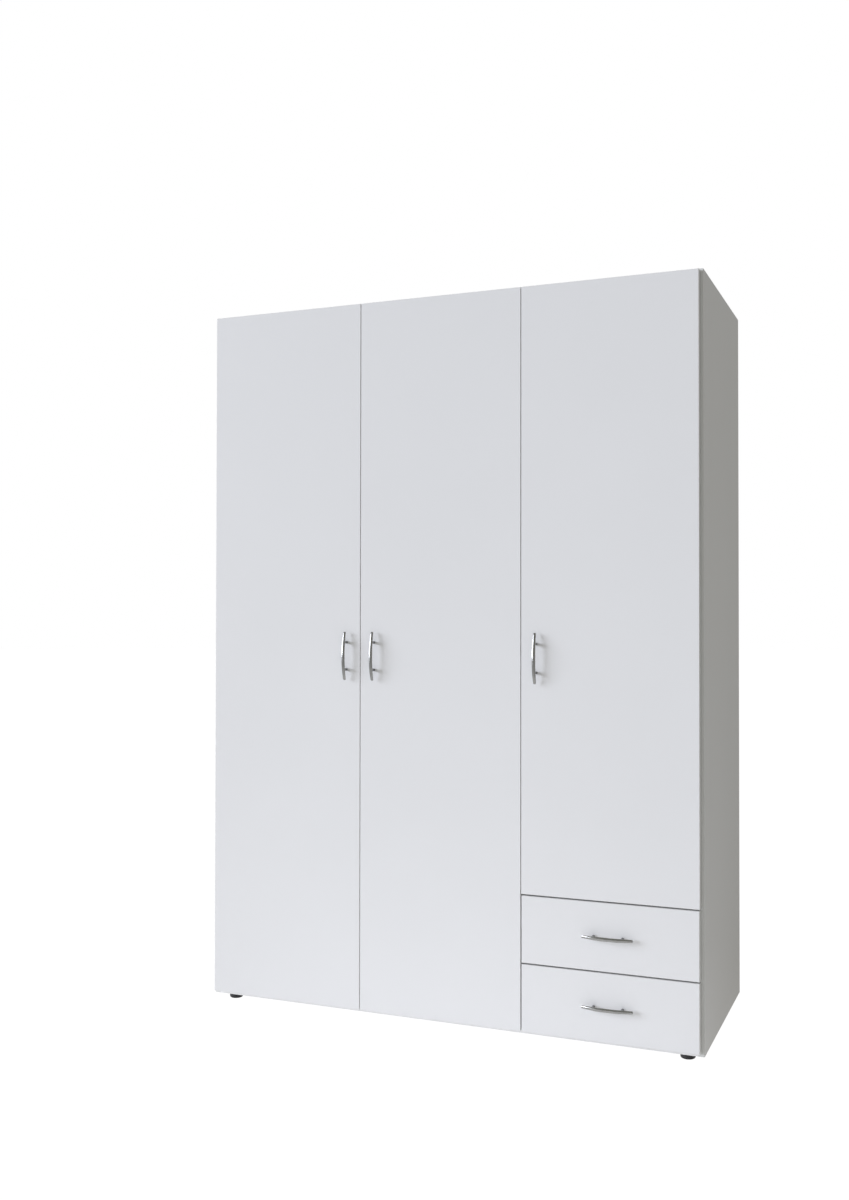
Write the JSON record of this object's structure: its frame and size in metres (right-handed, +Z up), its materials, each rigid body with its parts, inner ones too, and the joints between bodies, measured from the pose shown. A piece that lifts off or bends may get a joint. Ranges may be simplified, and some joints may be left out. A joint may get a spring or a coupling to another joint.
{
  "type": "wardrobe",
  "caption": "White wardrobe with hinged doors, drawers under the right door, bow handles, hanging rail, shelves and round feet.",
  "frame": {"origin": "on the floor, under the middle of the whole box, handles included", "axes": "+X to the right seen from the front, +Y to the back (doors face -Y), +Z up"},
  "size_m": [1.35, 0.605, 1.9],
  "materials": {
    "white_board": "white melamine, fine texture, satin",
    "back_board": "white lacquered hardboard",
    "white_plastic": "satin",
    "satin_nickel": "satin nickel",
    "hinge_steel": "bright nickel plate",
    "fastener_steel": "zinc plate",
    "cam_zinc": "die-cast zinc",
    "rail_steel": "chromed",
    "runner_steel": "white powder coat",
    "roller_nylon": "natural nylon",
    "foot_plastic": "black moulded",
    "clear_pad": "clear soft pad"
  },
  "bodies": {
    "carcass": {"back_nails": "fastener_steel", "back_sheet_left": "back_board", "back_sheet_middle": "back_board", "back_sheet_right": "back_board", "back_strip": "white_plastic", "bottom_panel": "white_board", "cam_bolts": "fastener_steel", "cam_locks": "cam_zinc", "clothes_rail": "rail_steel", "door_bumpers": "clear_pad", "drawer_shelf": "white_board", "feet_front": "foot_plastic", "feet_middle": "foot_plastic", "feet_rear": "foot_plastic", "hat_shelf": "white_board", "hinge_arms": "hinge_steel", "hinge_plates": "hinge_steel", "partition_panel": "white_board", "rail_sockets": "rail_steel", "runner_rails": "runner_steel", "shelf_lower": "white_board", "shelf_middle": "white_board", "shelf_pins": "hinge_steel", "shelf_upper": "white_board", "side_panel_left": "white_board", "side_panel_right": "white_board", "top_panel": "white_board"},
    "door_leaf_left": {"door_left": "white_board", "hinge_cups_left": "hinge_steel", "handle_left": "satin_nickel", "handle_screws_left": "fastener_steel"},
    "door_leaf_middle": {"door_middle": "white_board", "hinge_cups_middle": "hinge_steel", "handle_middle": "satin_nickel", "handle_screws_middle": "fastener_steel"},
    "door_leaf_right": {"door_right": "white_board", "hinge_cups_right": "hinge_steel", "handle_right": "satin_nickel", "handle_screws_right": "fastener_steel"},
    "drawer_upper": {"drawer_front_upper": "white_board", "drawer_side_left_upper": "white_board", "drawer_side_right_upper": "white_board", "drawer_back_upper": "white_board", "drawer_floor_upper": "back_board", "drawer_rails_upper": "runner_steel", "handle_upper": "satin_nickel", "handle_screws_upper": "fastener_steel"},
    "front_roller_pair_upper": {"front_rollers_upper": "roller_nylon"},
    "rear_roller_pair_upper": {"rear_rollers_upper": "roller_nylon"},
    "drawer_lower": {"drawer_front_lower": "white_board", "drawer_side_left_lower": "white_board", "drawer_side_right_lower": "white_board", "drawer_back_lower": "white_board", "drawer_floor_lower": "back_board", "drawer_rails_lower": "runner_steel", "handle_lower": "satin_nickel", "handle_screws_lower": "fastener_steel"},
    "front_roller_pair_lower": {"front_rollers_lower": "roller_nylon"},
    "rear_roller_pair_lower": {"rear_rollers_lower": "roller_nylon"}
  },
  "joints": [
    {"name": "door_left_hinge", "type": "hinge", "parent": "carcass", "child": "door_leaf_left", "pos_m": [-0.6645, -0.2745, 0.962], "axis": [0, 0, -1], "range_deg": [0, 95]},
    {"name": "door_middle_hinge", "type": "hinge", "parent": "carcass", "child": "door_leaf_middle", "pos_m": [0.21883, -0.2745, 0.962], "axis": [0, 0, 1], "range_deg": [0, 90]},
    {"name": "door_right_hinge", "type": "hinge", "parent": "carcass", "child": "door_leaf_right", "pos_m": [0.6645, -0.2745, 1.133], "axis": [0, 0, 1], "range_deg": [0, 95]},
    {"name": "drawer_lower_slide", "type": "slide", "parent": "carcass", "child": "drawer_lower", "axis": [0, -1, 0], "range_m": [0, 0.35]},
    {"name": "front_rollers_lower_spin", "type": "hinge", "parent": "carcass", "child": "front_roller_pair_lower", "pos_m": [0.44092, -0.2445, 0.06], "axis": [1, 0, 0], "continuous": true},
    {"name": "rear_rollers_lower_spin", "type": "hinge", "parent": "drawer_lower", "child": "rear_roller_pair_lower", "pos_m": [0.44092, 0.1765, 0.06], "axis": [1, 0, 0], "continuous": true},
    {"name": "drawer_upper_slide", "type": "slide", "parent": "carcass", "child": "drawer_upper", "axis": [0, -1, 0], "range_m": [0, 0.35]},
    {"name": "front_rollers_upper_spin", "type": "hinge", "parent": "carcass", "child": "front_roller_pair_upper", "pos_m": [0.44092, -0.2445, 0.231], "axis": [1, 0, 0], "continuous": true},
    {"name": "rear_rollers_upper_spin", "type": "hinge", "parent": "drawer_upper", "child": "rear_roller_pair_upper", "pos_m": [0.44092, 0.1765, 0.231], "axis": [1, 0, 0], "continuous": true}
  ]
}
